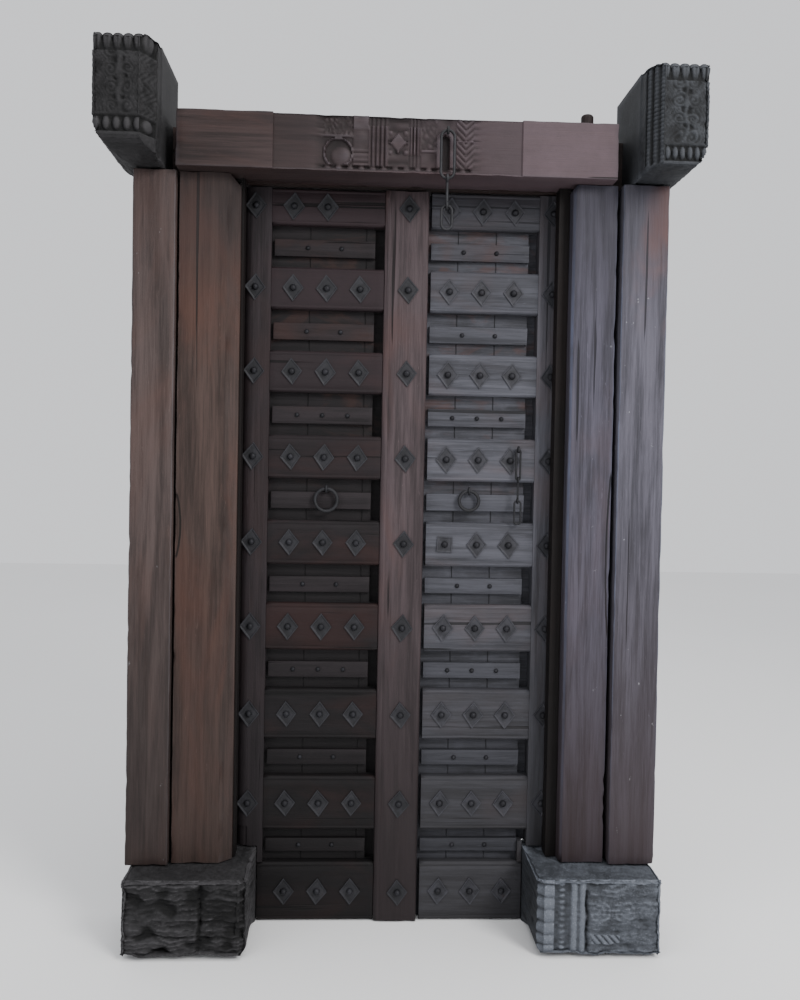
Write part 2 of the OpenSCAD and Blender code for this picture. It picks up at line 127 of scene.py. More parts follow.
class Finish:
    """A procedural material: its node tree, with one method that adds nodes."""

    def __init__(self, name):
        self.material = bpy.data.materials.new(name)
        self.material.use_nodes = True
        self.nodes = self.material.node_tree.nodes
        self.links = self.material.node_tree.links
        self.nodes.clear()
        self.shader = self.nodes.new("ShaderNodeBsdfPrincipled")
        output = self.nodes.new("ShaderNodeOutputMaterial")
        self.links.new(self.shader.outputs[0], output.inputs[0])

    def node(self, kind, settings=None, inputs=None, out=0):
        made = self.nodes.new(kind)
        for key, value in (settings or {}).items():
            setattr(made, key, value)
        for key, value in (inputs or {}).items():
            self.feed(made.inputs[key], value)
        return Value(self, made.outputs[out])

    def feed(self, socket, value):
        if isinstance(value, Value):
            self.links.new(value.socket, socket)
        else:
            socket.default_value = value

    def place(self):
        return self.node("ShaderNodeTexCoord", out="Object")

    def stretched(self, scale, shift=(0, 0, 0)):
        return self.node("ShaderNodeMapping", None, {0: self.place(), 1: shift, 3: scale})

    def noise(self, where, detail=5.0, rough=0.6, bend=0.0):
        inputs = {"Vector": where, "Scale": 1.0, "Detail": detail, "Roughness": rough, "Distortion": bend}
        return self.node("ShaderNodeTexNoise", None, inputs)

    def mix(self, factor, first, second):
        settings = {"data_type": "RGBA", "blend_type": "MIX", "clamp_factor": True}
        return self.node("ShaderNodeMix", settings, {0: factor, 6: first, 7: second}, out=2)

    def painted(self, name):
        return self.node("ShaderNodeAttribute", {"attribute_name": name}, out="Fac")

    def along(self, axis):
        return self.node("ShaderNodeSeparateXYZ", None, {0: self.place()}, out=axis)

    def finish(self, gloss, **sockets):
        self.shader.inputs["Specular IOR Level"].default_value = gloss
        for key, value in sockets.items():
            self.feed(self.shader.inputs[key.replace("_", " ")], value)
        return self.material

    def bump(self, height, depth, strength=1.0):
        inputs = {"Height": height, "Distance": depth, "Strength": strength}
        return self.node("ShaderNodeBump", None, inputs)


def rgba(colour):
    return (colour[0], colour[1], colour[2], 1.0)


def along_grain(axis, across, along):
    scale = [across] * 3
    scale[axis] = along
    return tuple(scale)


def timber(
    name, axis, base, warm, warmth=0.4, warm_above=None, foot=0.5, foot_tint=None, head=0.0, head_shade_tint=None,
    pale=None, specks=0.0, relief=1.0, rubbed_tint=None, split=None,
):
    """Old dry timber: streaks and cracks along the grain, rubbed edges, a darker foot, and painted shade at
    the head and in the hollows.

    pale is (axis, start, end, colour): the wood turns to that colour from start to end along an axis.
    warm_above is the height above which the warm patches show. split is (across, height, half length,
    bow): an open crack that bows out from a place on X.
    """
    f = Finish(name)
    wide = f.noise(f.stretched(along_grain(axis, 22, 1.6)), detail=6, rough=0.62, bend=0.6)
    streak = f.noise(f.stretched(along_grain(axis, 120, 4.0), (3, 1, 2)), detail=8, rough=0.7, bend=0.4)
    fibre = f.noise(f.stretched(along_grain(axis, 520, 14), (7, 4, 1)), detail=4, rough=0.7)
    patch = f.noise(f.stretched(along_grain(axis, 5.0, 1.9), (1, 9, 4)), detail=4, rough=0.6, bend=0.8)
    stain = f.noise(f.stretched((11, 11, 11), (4, 2, 8)), detail=6, rough=0.7)
    crack_line = f.noise(f.stretched(along_grain(axis, 46, 0.9), (2, 6, 3)), detail=3, rough=0.5, bend=0.25)
    crack = 1 - crack_line.step(0.305, 0.335)
    scratch = f.noise(f.stretched(along_grain(axis, 210, 26), (6, 6, 6)), detail=3, rough=0.6, bend=1.2)
    # The near-black colour is painted shade in the hollows, and the colour of the open cracks.
    dark, light, shade_and_crack_dark = shade(base, 0.42), shade(base, 1.75), shade(base, 0.10)
    colour = f.mix((0.55 * wide + 0.45 * streak).step(0.38, 0.62), rgba(dark), rgba(shade(base, 1.15)))
    level = f.along(Z)
    warmed = patch.step(0.46, 0.68) * warmth
    if warm_above is not None:
        warmed = warmed * level.step(warm_above - 0.08, warm_above + 0.08)
    colour = f.mix(warmed, colour, rgba(warm))
    if pale:
        reach = f.along(pale[0]).step(pale[1], pale[2])
        colour = f.mix(reach * (0.35 + 0.9 * stain), colour, rgba(pale[3]))
    colour = f.mix(fibre.step(0.50, 0.78) * 0.40, colour, rgba(light))
    colour = f.mix(scratch.step(0.66, 0.74) * 0.30, colour, rgba(shade(light, 1.3)))
    wear = f.painted("wear") * (0.35 + 0.9 * stain)
    rubbed = tinted(light, *(rubbed_tint or (1, 1, 1)))
    colour = f.mix(wear.step(0.25, 0.95) * 0.60, colour, rgba(rubbed))
    # Painted shade: the hollows are blended towards near black.
    colour = f.mix(f.painted("hollow").least(1.0) * 0.85, colour, rgba(shade_and_crack_dark))
    colour = f.mix(crack * 0.85, colour, rgba(shade_and_crack_dark))
    if split:
        across, middle, half, bow = split
        share = (level - middle) * (1 / half)
        off = f.along(X) + 0.004 * stain - 0.002 - (across + bow * (1 - share * share))
        line = 1 - off.size().step(1.5 * MM, 3.5 * MM)
        colour = f.mix(line * (1 - share.size().step(0.90, 1.0)) * 0.92, colour, rgba(shade_and_crack_dark))
    if specks:
        paint = f.noise(f.stretched((48, 48, 36), (8, 1, 5)), detail=3, rough=0.75)
        colour = f.mix(paint.step(0.700, 0.725) * specks, colour, rgba((0.42, 0.43, 0.46)))
    # The foot is darker; the head gets painted shade, as under the overhanging lintel and brackets.
    low_end = shade(tinted(base, *(foot_tint or (1, 1, 1))), 0.22)
    top_shade = shade(tinted(base, *(head_shade_tint or (1, 1, 1))), 0.30)
    colour = f.mix((1 - level.step(0.10, 1.25)) * foot, colour, rgba(low_end))
    colour = f.mix(level.step(1.50, 1.90) * head, colour, rgba(top_shade))
    surface = 0.5 * streak + 0.35 * fibre + 0.4 * stain - 0.9 * crack
    return f.finish(
        0.22,
        Base_Color=colour,
        Roughness=(0.56 + 0.24 * stain - 0.10 * wear).least(0.95),
        Normal=f.bump(surface, 1.6 * MM * relief, 1.0),
    )


def carved(name, base, dust_and_sheen):
    """Carved timber, painted almost black in its hollows as shade, and dusty grey on what stands out, partly
    as painted highlight.
    """
    f = Finish(name)
    broad = f.noise(f.stretched((7, 7, 7)), detail=5, rough=0.6, bend=0.5)
    grit = f.noise(f.stretched((90, 90, 130), (3, 3, 3)), detail=8, rough=0.72)
    pits = f.noise(f.stretched((300, 300, 360), (5, 2, 1)), detail=4, rough=0.6)
    wear = f.painted("wear")
    tone = (0.5 * broad + 0.5 * grit).step(0.38, 0.62)
    colour = f.mix(tone, rgba(shade(base, 0.45)), rgba(shade(base, 1.1)))
    # What stands out is painted lighter: rubbed wood and dust, and partly painted highlight.
    colour = f.mix((wear * (0.35 + 0.9 * grit)).step(0.22, 0.72) * 0.85, colour, rgba(shade(base, 1.8)))
    colour = f.mix(pits.step(0.54, 0.68) * wear * 0.75, colour, rgba(dust_and_sheen))
    # Painted shade: the carved hollows are blended to near black.
    colour = f.mix(f.painted("hollow").step(0.10, 0.95) * 0.92, colour, rgba(shade(base, 0.08)))
    return f.finish(
        0.25,
        Base_Color=colour,
        Roughness=(0.62 + 0.3 * grit - 0.10 * wear).least(0.95),
        Normal=f.bump(0.7 * grit + 0.3 * pits, 2.2 * MM, 1.0),
    )


def forged(name, dark, edge, rust, metal):
    """Hand-forged iron: blackened, pitted, rubbed bright on its edges, with a little rust."""
    f = Finish(name)
    pits = f.noise(f.stretched((240, 240, 240)), detail=6, rough=0.65)
    cloud = f.noise(f.stretched((38, 38, 38), (2, 5, 1)), detail=5, rough=0.65)
    wear = f.painted("wear")
    colour = f.mix(cloud.step(0.40, 0.66), rgba(dark), rgba(tuple(1.9 * c for c in dark)))
    colour = f.mix(cloud.step(0.60, 0.76) * 0.45, colour, rgba(rust))
    colour = f.mix((wear * (0.3 + pits)).step(0.35, 0.8), colour, rgba(edge))
    return f.finish(
        0.35,
        Base_Color=colour,
        Metallic=metal,
        Roughness=(0.42 + 0.35 * pits).least(0.9),
        Normal=f.bump(pits + 0.6 * cloud, 0.7 * MM, 0.8),
    )


def planks(name, base, warm, warmth, joints):
    """Back boards: grain across, with dark upright joints and dusty corners."""
    f = Finish(name)
    across = f.along(X)
    streak = f.noise(f.stretched(along_grain(X, 110, 5.0)), detail=7, rough=0.68, bend=0.4)
    cloud = f.noise(f.stretched((9, 9, 15), (5, 5, 2)), detail=6, rough=0.68)
    patch = f.noise(f.stretched((6, 6, 14), (9, 2, 6)), detail=4, rough=0.6, bend=0.8)
    lines = []
    for place in joints:
        off = across + 0.004 * cloud - 0.002 - place
        lines.append(1 - off.size().step(0.6 * MM, 2.0 * MM))
    joint = lines[0]
    for line in lines[1:]:
        joint = joint.most(line)
    tone = (0.6 * streak + 0.4 * cloud).step(0.38, 0.62)
    colour = f.mix(tone, rgba(shade(base, 0.4)), rgba(shade(base, 1.1)))
    high = f.along(Z).step(0.95, 1.45)
    colour = f.mix(patch.step(0.50, 0.66) * high * warmth, colour, rgba(warm))
    colour = f.mix(cloud.step(0.54, 0.74) * 0.5, colour, rgba(shade(base, 1.6)))
    colour = f.mix(joint * 0.8, colour, rgba(shade(base, 0.1)))
    colour = f.mix((1 - f.along(Z).step(0.10, 1.25)) * 0.55, colour, rgba(shade(base, 0.2)))
    return f.finish(
        0.3,
        Base_Color=colour,
        Roughness=0.58 + 0.3 * cloud,
        Normal=f.bump(0.6 * streak + 0.4 * cloud - joint, 1.8 * MM, 1.0),
    )


# ---------------------------------------------------------------- mesh helpers


def copy_of(node):
    """A clean copy of a frame node: doubles merged and flat triangles joined."""
    bm = bmesh.new()
    bm.from_mesh(frame["nodes"][node].data)
    bmesh.ops.remove_doubles(bm, verts=bm.verts[:], dist=0.01 * MM)
    bmesh.ops.dissolve_limit(
        bm, angle_limit=math.radians(1), verts=bm.verts[:], edges=bm.edges[:], use_dissolve_boundaries=False
    )
    return bm


def corners(node):
    low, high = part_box(node)
    return Vector(low), Vector(high)


def block(low, high):
    """A plain box between two corners."""
    bm = bmesh.new()
    middle = Matrix.Translation((low + high) / 2)
    bmesh.ops.create_cube(bm, size=1, matrix=middle @ Matrix.Diagonal((*(high - low), 1)))
    return bm


def steps(start, end, step):
    count = max(1, round((end - start) / step))
    return [start + (end - start) * k / count for k in range(1, count)]


def slice_at(bm, axis, places):
    normal = Vector((0, 0, 0))
    normal[axis] = 1
    for place in places:
        everything = bm.verts[:] + bm.edges[:] + bm.faces[:]
        bmesh.ops.bisect_plane(bm, geom=everything, dist=0.02 * MM, plane_co=normal * place, plane_no=normal)


def ease(bm, width):
    """Takes the sharpness off the long edges."""
    shortest = 20 * MM
    sharp = [
        e for e in bm.edges
        if len(e.link_faces) == 2 and e.calc_length() > shortest and e.calc_face_angle(0) > math.radians(35)
    ]
    bmesh.ops.bevel(
        bm, geom=sharp, offset=width, offset_type="OFFSET", segments=2, profile=0.5,
        affect="EDGES", material=-1, clamp_overlap=True,
    )


# The second layer holds painted shade: how dark a point is painted for lying deep.
def paint_layers(bm):
    return bm.verts.layers.float.new("wear"), bm.verts.layers.float.new("hollow")


def edge_nearness(point, low, high, reach):
    gaps = sorted(max(0.0, min(point[k] - low[k], high[k] - point[k])) for k in range(3))
    return math.exp(-((math.hypot(gaps[0], gaps[1]) / reach) ** 2))


def roughen(
    bm, low, high, axis, amount, seed, depth=None, reach=7 * MM, rubbed=0.6, chips=1.6, blunt=0.0, spare=None,
):
    """Wears the surface in with noise along the grain, and carves it by depth(point, normal).

    depth gives how deep to carve, how far the point stands out and, where it matters, how much painted shade
    it gets.
    blunt is how far the corners are worn back. spare(point) is 0 where nothing is worn, 1 elsewhere.
    """
    wear, hollow = paint_layers(bm)
    bm.normal_update()
    scale = Vector(along_grain(axis, 26, 5))
    shift = Vector((seed * 3.7, seed * 1.9, seed * 5.3))
    moves = []
    for v in bm.verts:
        along = Vector(v.co[k] * scale[k] for k in range(3)) + shift
        lump = 0.5 + 0.5 * noise.noise(along)
        near = edge_nearness(v.co, low, high, reach)
        chip = max(0.0, noise.noise(v.co * 34 + shift)) * near
        cut = amount * (0.75 * lump + chips * chip) + blunt * near * (0.6 + 0.8 * lump)
        carving, high_point, *dark = depth(v.co, v.normal) if depth else (0.0, 0.0)
        # Unless depth says otherwise, deeper cuts get more painted shade.
        if not dark:
            dark = [carving / (9 * MM) * (1 - min(1.0, high_point))]
        v[wear] = min(1.0, rubbed * near + high_point)
        v[hollow] = min(1.0, max(0.0, dark[0]))
        moves.append((v, v.normal.copy(), (cut + carving) * (spare(v.co) if spare else 1.0)))
    for v, normal, cut in moves:
        v.co -= normal * cut
    for v in bm.verts:
        for k in range(3):
            v.co[k] = min(max(v.co[k], low[k]), high[k])


def clip_corner(bm, point, normal):
    """Cuts a solid's corner off along a plane, and closes the cut."""
    everything = bm.verts[:] + bm.edges[:] + bm.faces[:]
    made = bmesh.ops.bisect_plane(
        bm, geom=everything, dist=0.02 * MM, plane_co=point, plane_no=normal, clear_outer=True
    )
    rim = [g for g in made["geom_cut"] if isinstance(g, bmesh.types.BMEdge)]
    bmesh.ops.edgeloop_fill(bm, edges=rim)


def finish_piece(bm, name, body, material, replaced=(), smooth=True):
    mesh = bpy.data.meshes.new(name)
    bmesh.ops.recalc_face_normals(bm, faces=bm.faces[:])
    bm.to_mesh(mesh)
    bm.free()
    piece = bpy.data.objects.new(name, mesh)
    bpy.context.scene.collection.objects.link(piece)
    mesh.materials.append(material)
    if smooth:
        mesh.shade_smooth()
        mesh.set_sharp_from_angle(angle=math.radians(42))
    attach(piece, body)
    if replaced:
        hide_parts(*replaced)
    return piece


def dress(node, material):
    """Gives a frame node a better material."""
    for holder in frame["nodes"][node].material_slots:
        holder.material = material


# ---------------------------------------------------------------- settings


def length(name, text, default):
    return bpy.props.FloatProperty(name=name, description=text, default=default, unit="LENGTH", min=0.0)


def colour(name, text, default):
    return bpy.props.FloatVectorProperty(
        name=name, description=text, default=default, subtype="COLOR", size=3
    )


class DoorSizes(bpy.types.PropertyGroup):
    post_wear: length("Post wear", "How far wear eats into the posts and the lintel", 2.2 * MM)
    rail_wear: length("Rail wear", "How far wear eats into the rails and battens", 1.4 * MM)
    carving_cell: length("Carving cell", "Size of the smallest carved detail", 3.4 * MM)
    edge_ease: length("Eased edge", "Width of the rounding on worn edges", 3.0 * MM)
    plinth_cut: length("Base mouldings", "Depth of the mouldings on the base blocks", 13 * MM)
    bracket_cut: length("Bracket carving", "Depth of the carving on the brackets", 8 * MM)
    panel_cut: length("Lintel carving", "Depth of the carving on the lintel", 12 * MM)
    rosette_rim: length("Rosette rim", "Width of the raised rim of a rosette", 5 * MM)
    focal: length("Focal length", "Focal length of the camera", 0.03463)


class DoorColours(bpy.types.PropertyGroup):
    # The left-hand colours are darker and warmer than the right-hand ones, partly from the wood's own tone
    # and partly as painted shade, the light falling from the right.
    left_wood: colour("Left leaf", "Main colour of the left leaf", (0.0080, 0.0062, 0.0070))
    left_meeting: colour("Meeting stile", "Main colour of the meeting stile", (0.056, 0.041, 0.044))
    right_wood: colour("Right leaf", "Main colour of the right leaf", (0.066, 0.067, 0.080))
    left_inner_post: colour("Left inner post", "Main colour of the left inner post", (0.050, 0.032, 0.027))
    left_outer_post: colour("Left outer post", "Main colour of the left outer post", (0.060, 0.043, 0.040))
    right_inner_post: colour("Right inner post", "Main colour of the right inner post", (0.064, 0.060, 0.080))
    right_outer_post: colour("Right outer post", "Main colour of the right outer post", (0.080, 0.076, 0.096))
    lintel_wood: colour("Lintel", "Main colour of the lintel", (0.029, 0.0185, 0.0175))
    left_carving: colour("Left carving", "Colour of the left base block and bracket", (0.024, 0.023, 0.0245))
    right_carving: colour("Right carving", "Colour of the right bracket", (0.037, 0.040, 0.046))
    right_base: colour("Right base", "Colour of the right base block", (0.060, 0.066, 0.078))
    salmon: colour("Bare wood", "Colour of wood that has lost its surface", (0.120, 0.050, 0.036))
    iron: colour("Iron", "Colour of the forged iron", (0.012, 0.012, 0.0145))
    floor: colour("Floor", "Colour of the floor", (0.86, 0.86, 0.86))


def sizes():
    return bpy.context.scene.door_sizes


def colours():
    return bpy.context.scene.door_colours


def shade(base, factor):
    return tuple(min(1.0, factor * c) for c in base)


def tinted(base, red, green, blue):
    return (base[0] * red, base[1] * green, base[2] * blue)


def warmer(base):
    return tinted(base, 1.35, 0.95, 0.8)


def plain_timber(name, base, axis=Z, **marks):
    return timber(name, axis, base, warmer(base), **marks)


# ---------------------------------------------------------------- posts and hidden members


class DOOR_OT_posts(bpy.types.Operator):
    """Weathers the four posts along their grain"""

    bl_idname = "door.posts"
    bl_label = "Posts"

    # head is painted shade at the top of each post, under the lintel and brackets; the bluer head tints
    # colour that shade.
    marks = {
        "inner_post_left": dict(warmth=0.7, foot=0.42, head=0.55, head_shade_tint=(1.0, 1.25, 1.6)),
        "outer_post_left": dict(warmth=0.35, foot=0.68, head=0.28, specks=0.25, head_shade_tint=(0.9, 1.1, 1.3)),
        "inner_post_right": dict(warmth=0.25, foot=0.80, foot_tint=(1.6, 1.0, 0.7), head=0.65, specks=0.15),
        "outer_post_right": dict(
            warmth=0.65, warm_above=1.62, foot=0.84, foot_tint=(1.6, 1.1, 0.9), head=0.60, specks=0.5,
        ),
    }

    def execute(self, context):
        for number, (node, marks) in enumerate(self.marks.items()):
            place, _, side = node.split("_")
            base = getattr(colours(), f"{side}_{place}_post")
            low, high = corners(node)
            bm = copy_of(node)
            if place == "inner":
                self.clip_head(bm, side, low, high)
            ease(bm, sizes().edge_ease * 1.4)
            slice_at(bm, Z, steps(low.z, high.z, 24 * MM))
            slice_at(bm, X, steps(low.x, high.x, 17 * MM))
            slice_at(bm, Y, steps(low.y, high.y, 30 * MM))
            roughen(bm, low, high, Z, sizes().post_wear, number + 3, self.chamfer_wear, chips=2.4)
            warm = shade(colours().salmon, 1.8) if node == "outer_post_right" else warmer(base)
            split = self.split(node, low, high)
            material = timber(
                node + "_timber", Z, base, warm, rubbed_tint=(0.85, 1.1, 1.3), split=split, **marks
            )
            finish_piece(bm, f"weathered_{node}", "frame", material, (node,))
        return {"FINISHED"}

    def split(self, node, low, high):
        """The long cracks beside the gaps between the posts."""
        if node == "inner_post_left":
            return (low.x + 2 * MM, 1.06, 0.085, 11 * MM)
        if node == "inner_post_right":
            return (high.x - 2 * MM, 1.00, 0.22, -9 * MM)
        return None

    def clip_head(self, bm, side, low, high):
        """Takes off the upper doorway corner, where the chamfer stops."""
        reach = (26 if side == "left" else 12) * MM
        inward = 1 if side == "left" else -1
        corner = Vector((high.x if side == "left" else low.x, 0, high.z))
        clip_corner(bm, corner - Vector((0, 0, reach)), Vector((inward, 0, 1)).normalized())

    def chamfer_wear(self, point, normal):
        chamfer = abs(normal.x) > 0.45 and normal.y < -0.45
        return 0.0, 0.55 if chamfer else 0.0


class DOOR_OT_hidden(bpy.types.Operator):
    """Finishes the jambs, head, stops, tenons and backs, which keep their frame shapes"""

    bl_idname = "door.hidden"
    bl_label = "Jambs, head and stops"

    def execute(self, context):
        # Painted shade: the jambs, head, backs and tenons take a darkened copy of the lintel's wood, as they
        # sit back behind the posts and lintel, and the stops, deep in the reveal, take a darker copy still.
        base = shade(colours().lintel_wood, 0.7)
        upright = plain_timber("dark_upright_timber", base)
        level = plain_timber("dark_level_timber", base, axis=X, foot=0.0)
        stops = plain_timber("stop_timber", shade(base, 0.3))
        for side in SIDES:
            dress(f"rear_jamb_{side}", upright)
            dress(f"stop_{side}", stops)
            dress(f"{side}_back_stile", upright)
        dress("rear_head", level)
        dress("lintel_tenons", plain_timber("tenon_timber", shade(base, 1.1), foot=0.0))
        return {"FINISHED"}


# ---------------------------------------------------------------- carving


def dome(offset_u, offset_v, radius_u, radius_v):
    """Height, 0 to 1, of a rounded boss at an offset from its centre."""
    inside = 1 - (offset_u / radius_u) ** 2 - (offset_v / radius_v) ** 2
    return math.sqrt(inside) if inside > 0 else 0.0


def row_of(u, pitch):
    """Offset of u from the nearest middle of a row spaced by pitch."""
    return (u % pitch) - pitch / 2


def flute(u, pitch):
    return abs(math.sin(math.pi * u / pitch))


def volute(u, v, radius, pitch, turn=1):
    """Height, 0 to 1, of a carved spiral: negative outside its radius."""
    far = math.hypot(u, v)
    if far > radius:
        return -1.0
    return 0.5 + 0.5 * math.cos(math.tau * far / pitch - turn * math.atan2(v, u))


def foliage(u, v, scale, seed):
    """Height, 0 to 1, of small packed leaves."""
    near = noise.voronoi(Vector((u * scale, v * scale * 0.8, seed)))[0]
    return min(1.0, max(0.0, 1.35 * (near[1] - near[0])))


def profile(points, t):
    """Value at t of a moulding outline given as (height, depth) points."""
    for (t0, d0), (t1, d1) in zip(points, points[1:]):
        if t <= t1:
            blend = (t - t0) / (t1 - t0)
            return d0 + (d1 - d0) * blend * blend * (3 - 2 * blend)
    return points[-1][1]


BASE_TALL = 200 * MM
PLINTH_LEFT = (
    (0.00, 0.35), (0.07, 0.15), (0.11, 0.55), (0.15, 0.10), (0.24, 0.10), (0.28, 0.85), (0.32, 0.20),
    (0.42, 0.05), (0.46, 0.50), (0.50, 0.25), (0.58, 0.95), (0.70, 0.80), (0.76, 0.15), (0.82, 0.65),
    (0.87, 0.10), (0.94, 0.05), (1.00, 0.25),
)
PLINTH_RIGHT = (
    (0.00, 0.30), (0.08, 0.05), (0.14, 0.70), (0.18, 0.15), (0.30, 0.10), (0.34, 0.75), (0.38, 0.45),
    (0.66, 0.40), (0.70, 0.05), (0.75, 0.70), (0.79, 0.10), (0.90, 0.05), (1.00, 0.20),
)


def plinth_front(side, p, t, from_inner, joint, worn, rough, local):
    """Front of a base block: returns its depth, and how far the point stands out."""
    if side == "left":
        return local + (0.30 if from_inner < joint else 0.0), 0.0
    if from_inner < 0.36 * joint:
        lobe = dome(row_of(p.z, 31 * MM), 0, 15.5 * MM, 1)
        return 0.55 * (1 - lobe) + 0.30 * rough, 0.8 * lobe
    if from_inner < 0.66 * joint:
        across = from_inner - 0.51 * joint
        bead = dome(across, row_of(p.z, 15 * MM), 9 * MM, 6 * MM) * (0.3 + 0.7 * worn)
        return 0.62 + 0.25 * rough - 0.45 * bead, bead
    if from_inner < joint:
        fillet = flute(from_inner - 0.66 * joint, 0.17 * joint)
        return 0.65 - 0.50 * fillet + 0.20 * rough, 0.8 * fillet
    if joint + 14 * MM < from_inner < joint + 82 * MM and 0.17 < t < 0.30:
        twist = flute(p.x + 0.8 * p.z, 17 * MM)
        return 0.60 - 0.50 * twist + 0.2 * rough, 0.8 * twist
    curl = max(volute(row_of(from_inner - joint, 62 * MM), p.z - 0.58 * BASE_TALL, 30 * MM, 13 * MM), 0.0)
    return local - 0.14 * curl * worn, 0.25 * curl * worn


def plinth_carving(side, low, high, cut):
    """Carving of a base block: worn ridges, gouges, an upright joint, lobes, beads and a rope band."""
    inner = high.x if side == "left" else low.x
    points = PLINTH_LEFT if side == "left" else PLINTH_RIGHT
    joint = (118 if side == "left" else 128) * MM
    shift = Vector((1.7, 5.1, 0.4)) if side == "left" else Vector((8.2, 2.6, 3.3))
    ragged = 1.0 if side == "left" else 0.55

    def depth(p, n):
        rough = 0.5 + 0.5 * noise.fractal(Vector((p.x * 36, p.y * 36, p.z * 110)) + shift, 0.6, 2.1, 5)
        gouge = max(0.0, noise.noise(Vector((p.x * 22, p.y * 22, p.z * 34)) + shift) - 0.10) * 2.6
        if abs(n.z) > 0.75:
            # Top and bottom faces: the gouges get painted shade.
            return (0.8 + 5.0 * rough * rough) * MM, 0.55 * rough, 0.25 * gouge
        t = (p.z - low.z) / (high.z - low.z)
        from_inner = abs(p.x - inner)
        warp = 0.034 * ragged * noise.fractal(Vector((p.x * 15, p.y * 15, p.z * 10)) + shift, 0.6, 2.2, 3)
        worn = 0.5 + 0.5 * noise.noise(p * 11 + shift)
        groove = profile(points, min(1.0, max(0.0, t + warp)))
        ribs = flute((t + 1.6 * warp) * BASE_TALL, 12.5 * MM)
        ridged = 1.0 if side == "left" else 0.35
        local = 0.42 * groove + 0.32 * ridged * ribs * (0.4 + 0.6 * worn)
        local = local + (0.25 + 0.22 * ragged) * rough + 0.60 * ragged * gouge
        # The rib crests are painted lighter: worn dust and partly painted highlight.
        raised, crest = 0.0, ridged * (1 - ribs) ** 2 * worn
        if n.y < -0.5:
            local, raised = plinth_front(side, p, t, from_inner, joint, worn, rough, local)
            off = abs(from_inner - joint - 9 * MM * ragged * noise.noise(Vector((0, 0, p.z * 26)) + shift))
            if off < 6 * MM and (side == "left" or t < 0.85):
                local += 0.7 * (1 - off / (6 * MM))
        elif n.y < 0.5:
            local *= 0.6
        # dark is painted shade, deeper in the grooves and gouges.
        dark = min(1.0, max(0.0, 1.7 * (local - 0.50)))
        # Painted shadow on the right block's inner side face.
        if side == "right" and n.x < -0.5:
            dark = max(dark, 0.72)
        stands = 0.75 - 1.3 * local + 1.4 * crest + raised
        return cut * local, max(0.0, min(1.0, stands)), dark * (1 - 0.6 * raised) * (1 - 0.5 * crest)

    return depth


def clear_of_pintle(p, side):
    """0 at the hole that the leaf's pintle turns in, 1 well away from it."""
    axis = next(joint["pos_m"] for joint in frame["joints"] if joint["name"] == f"{side}_leaf_swing")
    return min(1.0, max(0.0, (math.hypot(p.x - axis[0], p.y - axis[1]) - 22 * MM) / (20 * MM)))


def ahead_of_leaf(p):
    """0 beside the leaves, 1 well in front of them."""
    leaf_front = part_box("left_rail_1")[0][1]
    return min(1.0, max(0.0, (leaf_front - p.y) / (70 * MM)))


def round_foot(bm, side, low, high, radius):
    """Rounds the lower inner corner of a base block in front of the leaf, where the wood has rotted."""
    for v in bm.verts:
        ragged = 0.5 + 0.5 * noise.fractal(Vector((v.co.x * 16, 0, 5.0)), 0.8, 2.3, 4)
        ahead = max(0.0, 1 - (v.co.y - low.y) / (110 * MM))
        v.co.z += 17 * MM * ragged * ahead * max(0.0, 1 - (v.co.z - low.z) / (60 * MM))
        rise = min(radius, max(0.0, v.co.z - low.z))
        loss = radius - math.sqrt(max(0.0, radius ** 2 - (radius - rise) ** 2))
        loss *= ahead_of_leaf(v.co)
        if side == "left":
            v.co.x = min(v.co.x, high.x - loss)
        else:
            v.co.x = max(v.co.x, low.x + loss)


class DOOR_OT_base_blocks(bpy.types.Operator):
    """Carves the two base blocks with worn mouldings"""

    bl_idname = "door.base_blocks"
    bl_label = "Base blocks"

    def execute(self, context):
        for number, side in enumerate(SIDES):
            node = f"base_block_{side}"
            low, high = corners(node)
            inner = high.x if side == "left" else low.x
            bm = copy_of(node)
            ease(bm, 1.2 * MM)
            slice_at(bm, Z, steps(low.z, high.z, sizes().carving_cell))
            slice_at(bm, X, steps(low.x, high.x, sizes().carving_cell))
            slice_at(bm, Y, steps(low.y, high.y, 2.4 * sizes().carving_cell))

            def spare(p):
                beside = ahead_of_leaf(p) if abs(p.x - inner) < 30 * MM else 1.0
                return clear_of_pintle(p, side) * beside

            carving = plinth_carving(side, low, high, sizes().plinth_cut)
            roughen(
                bm, low, high, X, 1.5 * MM, 20 + number, carving,
                chips=3.0, reach=12 * MM, blunt=6 * MM, spare=spare,
            )
            round_foot(bm, side, low, high, 46 * MM)
            base = colours().left_carving if side == "left" else colours().right_base
            finish_piece(
                bm, f"carved_{node}", "frame", carved(node + "_wood", base, shade(base, 3.2)),
                (node,),
            )
        return {"FINISHED"}


BRACKET_MARKS = {"left": (34 * MM, 24 * MM), "right": (10 * MM, 18 * MM)}


def scrollwork(u, w, middle, rough, shift):
    """Height and drilled holes of tiers of paired spirals on either side of a stem."""
    bend = 8 * MM * noise.noise(Vector((u * 30, w * 30, 1.0)) + shift)
    worn = 0.5 + 0.5 * noise.noise(Vector((u * 13, w * 13, 4.0)) + shift)
    off, tier = u - middle + bend, row_of(w + bend, 44 * MM)
    side = 1 if off > 0 else -1
    spiral = volute(abs(off) - 17 * MM, tier, 18 * MM, 10 * MM, side)
    leaf = flute(abs(off) + 0.7 * abs(tier), 9 * MM)
    height = spiral if spiral >= 0 else 0.75 * leaf
    height = max(height, dome(off, 0, 4.5 * MM, 1))
    hole = dome(abs(off) - 9 * MM, abs(tier) - 20 * MM, 3.2 * MM, 3.2 * MM)
    return min(1.0, max(0.0, 0.22 + 0.55 * height * (0.35 + 0.8 * worn) + 0.70 * (rough - 0.5))), hole


